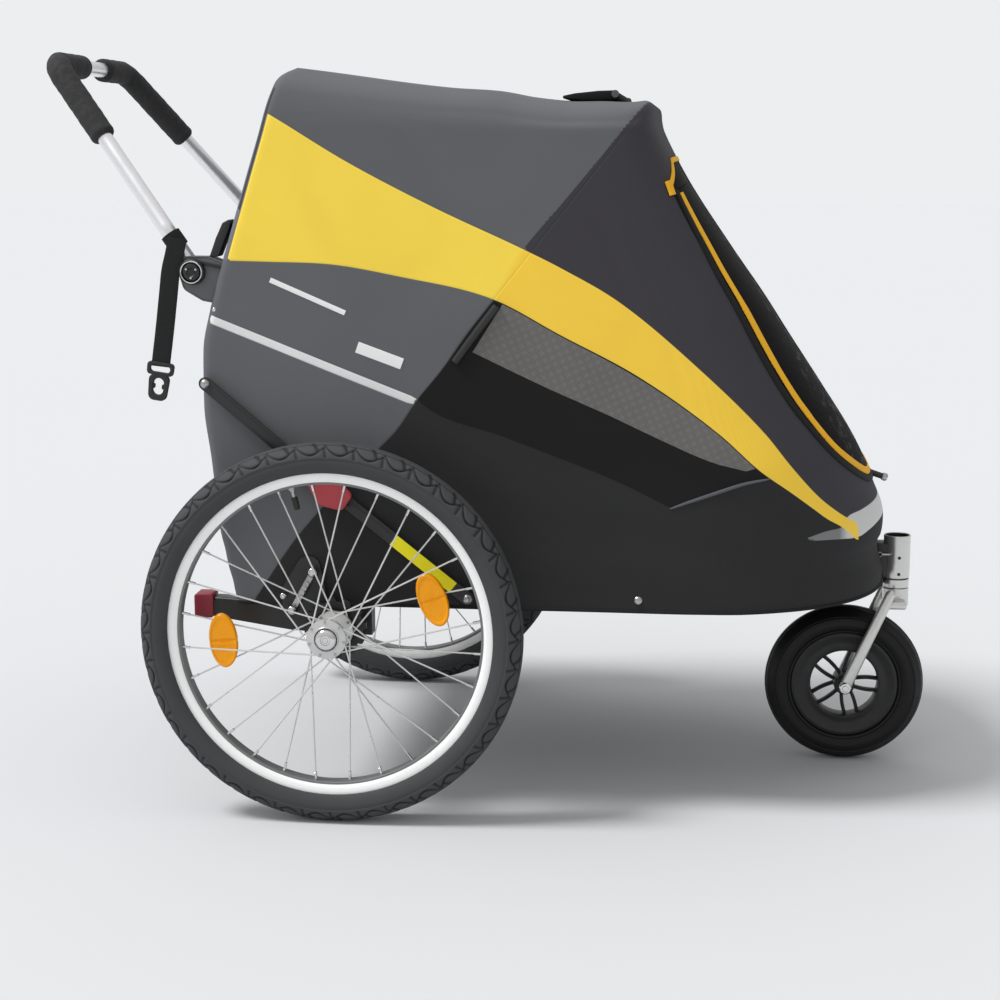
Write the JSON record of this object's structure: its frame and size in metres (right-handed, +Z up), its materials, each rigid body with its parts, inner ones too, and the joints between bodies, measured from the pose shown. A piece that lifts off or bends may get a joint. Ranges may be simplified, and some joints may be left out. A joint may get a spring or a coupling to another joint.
{
  "type": "pet stroller",
  "caption": "Folding pet stroller with a fabric cabin, spoked rear wheels, a swivelling front caster and an adjustable push handle.",
  "frame": {"origin": "on the floor, under the middle of the whole object's box", "axes": "+X to the front, where the caster is; +Y to the stroller's left; +Z up"},
  "size_m": [1.19, 0.785, 0.9805],
  "materials": {
    "black_metal": "satin black powder coat",
    "black_bracket": "black moulded plastic",
    "silver_metal": "silver grey paint",
    "aluminium": "brushed",
    "steel": "zinc plated",
    "chrome": "polished",
    "grey_plastic": "matte",
    "black_plastic": "matte",
    "red_plastic": "satin",
    "amber_plastic": "clear moulded",
    "tyre_rubber": "matte with fine tread",
    "grip_foam": "closed-cell foam",
    "webbing": "woven strap",
    "roof_fabric": "coated woven cloth, grey with a yellow band",
    "tub_fabric": "coated woven cloth",
    "floor_board": "board covered in cloth",
    "mesh_fabric": "open mesh"
  },
  "bodies": {
    "base": {"side_rail_left": "black_metal", "side_rail_right": "black_metal", "axle_arm_left": "black_metal", "axle_arm_right": "black_metal", "arm_end_cap_left": "red_plastic", "arm_end_cap_right": "red_plastic", "fold_plate_left": "steel", "fold_plate_right": "steel", "brace_bolt_lower_left": "steel", "brace_bolt_lower_right": "steel", "rear_cross_tube": "black_metal", "middle_cross_tube": "black_metal", "front_bow": "black_metal", "floor_panel": "floor_board", "head_tube": "silver_metal", "cabin_tub": "tub_fabric", "canopy": "roof_fabric", "side_window_left": "mesh_fabric", "side_window_right": "mesh_fabric"},
    "rear_frame": {"rear_frame": "black_metal", "handle_bracket_left": "black_bracket", "handle_bracket_right": "black_bracket", "brace_bolt_upper_left": "steel", "brace_bolt_upper_right": "steel"},
    "roof_hoop": {"roof_hoop": "black_metal"},
    "handle": {"handle_tube": "aluminium", "grip_left": "grip_foam", "grip_right": "grip_foam", "strap_loop": "webbing"},
    "strap": {"wrist_strap": "webbing", "strap_buckle": "black_plastic"},
    "handle_button_left": {"handle_button_left": "grey_plastic"},
    "handle_button_right": {"handle_button_right": "grey_plastic"},
    "brace_upper_left": {"brace_upper_left": "black_metal"},
    "brace_lower_left": {"brace_lower_left": "black_metal"},
    "lock_lever_left": {"lock_lever_left": "red_plastic"},
    "rear_wheel_left": {"rear_tyre_left": "tyre_rubber", "rear_rim_left": "aluminium", "spoked_hub_left": "chrome", "spoke_reflector_left_1": "amber_plastic", "spoke_reflector_left_2": "amber_plastic"},
    "release_button_left": {"release_button_left": "chrome"},
    "brake_lever_left": {"brake_lever_left": "steel"},
    "brace_upper_right": {"brace_upper_right": "black_metal"},
    "brace_lower_right": {"brace_lower_right": "black_metal"},
    "lock_lever_right": {"lock_lever_right": "red_plastic"},
    "rear_wheel_right": {"rear_tyre_right": "tyre_rubber", "rear_rim_right": "aluminium", "spoked_hub_right": "chrome", "spoke_reflector_right_1": "amber_plastic", "spoke_reflector_right_2": "amber_plastic"},
    "release_button_right": {"release_button_right": "chrome"},
    "brake_lever_right": {"brake_lever_right": "steel"},
    "caster_fork": {"caster_fork": "silver_metal", "caster_axle_bolt": "steel"},
    "caster_wheel": {"caster_tyre": "tyre_rubber", "caster_rim": "aluminium"},
    "front_door": {"front_door": "mesh_fabric"}
  },
  "joints": [
    {"name": "fold", "type": "hinge", "parent": "base", "child": "rear_frame", "pos_m": [-0.317, 0, 0.314], "axis": [0, 1, 0], "range_deg": [0, 79], "deforming": ["canopy", "cabin_tub", "side_window_left", "side_window_right", "front_door"]},
    {"name": "hoop_fold", "type": "hinge", "parent": "base", "child": "roof_hoop", "pos_m": [-0.265, 0, 0.314], "axis": [0, 1, 0], "range_deg": [0, 50]},
    {"name": "handle_angle", "type": "hinge", "parent": "rear_frame", "child": "handle", "pos_m": [-0.373, 0, 0.7], "axis": [0, -1, 0], "range_deg": [0, 112]},
    {"name": "strap_swing", "type": "hinge", "parent": "handle", "child": "strap", "pos_m": [-0.403, -0.2667, 0.737], "axis": [0, -1, 0], "range_deg": [-112, 0]},
    {"name": "handle_button_left_press", "type": "slide", "parent": "rear_frame", "child": "handle_button_left", "axis": [0, -1, 0], "range_m": [0, 0.003], "stiffness_N_per_m": 500},
    {"name": "brace_upper_left_fold", "type": "hinge", "parent": "rear_frame", "child": "brace_upper_left", "pos_m": [-0.355, 0.2888, 0.559], "axis": [0, 1, 0], "range_deg": [-129, 0]},
    {"name": "brace_lower_left_fold", "type": "hinge", "parent": "base", "child": "brace_lower_left", "pos_m": [-0.018, 0.2838, 0.284], "axis": [0, 1, 0], "range_deg": [0, 97]},
    {"name": "lock_lever_left_lift", "type": "hinge", "parent": "brace_upper_left", "child": "lock_lever_left", "pos_m": [-0.20966, 0.295, 0.43688], "axis": [0, -1, 0], "range_deg": [0, 25]},
    {"name": "rear_wheel_left_spin", "type": "hinge", "parent": "base", "child": "rear_wheel_left", "pos_m": [-0.187, 0.34, 0.247], "axis": [0, 1, 0], "continuous": true},
    {"name": "release_button_left_press", "type": "slide", "parent": "rear_wheel_left", "child": "release_button_left", "axis": [0, -1, 0], "range_m": [0, 0.003], "stiffness_N_per_m": 400},
    {"name": "brake_lever_left_turn", "type": "hinge", "parent": "base", "child": "brake_lever_left", "pos_m": [-0.232, 0.284, 0.29], "axis": [0, 1, 0], "range_deg": [0, 30]},
    {"name": "handle_button_right_press", "type": "slide", "parent": "rear_frame", "child": "handle_button_right", "axis": [0, 1, 0], "range_m": [0, 0.003], "stiffness_N_per_m": 500},
    {"name": "brace_upper_right_fold", "type": "hinge", "parent": "rear_frame", "child": "brace_upper_right", "pos_m": [-0.355, -0.2888, 0.559], "axis": [0, 1, 0], "range_deg": [-129, 0]},
    {"name": "brace_lower_right_fold", "type": "hinge", "parent": "base", "child": "brace_lower_right", "pos_m": [-0.018, -0.2838, 0.284], "axis": [0, 1, 0], "range_deg": [0, 97]},
    {"name": "lock_lever_right_lift", "type": "hinge", "parent": "brace_upper_right", "child": "lock_lever_right", "pos_m": [-0.20966, -0.295, 0.43688], "axis": [0, -1, 0], "range_deg": [0, 25]},
    {"name": "rear_wheel_right_spin", "type": "hinge", "parent": "base", "child": "rear_wheel_right", "pos_m": [-0.187, -0.34, 0.247], "axis": [0, 1, 0], "continuous": true},
    {"name": "release_button_right_press", "type": "slide", "parent": "rear_wheel_right", "child": "release_button_right", "axis": [0, 1, 0], "range_m": [0, 0.003], "stiffness_N_per_m": 400},
    {"name": "brake_lever_right_turn", "type": "hinge", "parent": "base", "child": "brake_lever_right", "pos_m": [-0.232, -0.284, 0.29], "axis": [0, 1, 0], "range_deg": [0, 30]},
    {"name": "caster_swivel", "type": "hinge", "parent": "base", "child": "caster_fork", "pos_m": [0.552, 0, 0.25], "axis": [0, 0, 1], "continuous": true},
    {"name": "caster_wheel_spin", "type": "hinge", "parent": "caster_fork", "child": "caster_wheel", "pos_m": [0.484, 0, 0.111], "axis": [0, 1, 0], "continuous": true},
    {"name": "door_open", "type": "hinge", "parent": "base", "child": "front_door", "pos_m": [0.2535, 0, 0.812], "axis": [0, -1, 0], "range_deg": [0, 120]}
  ],
  "couplings": [
    {"joint": "hoop_fold", "follows": "fold", "ratio": 0.628},
    {"joint": "strap_swing", "follows": "handle_angle", "ratio": -1},
    {"joint": "brace_upper_left_fold", "follows": "fold", "ratio": -1.6294},
    {"joint": "brace_lower_left_fold", "follows": "fold", "ratio": 1.2248},
    {"joint": "brace_upper_right_fold", "follows": "fold", "ratio": -1.6294},
    {"joint": "brace_lower_right_fold", "follows": "fold", "ratio": 1.2248}
  ]
}
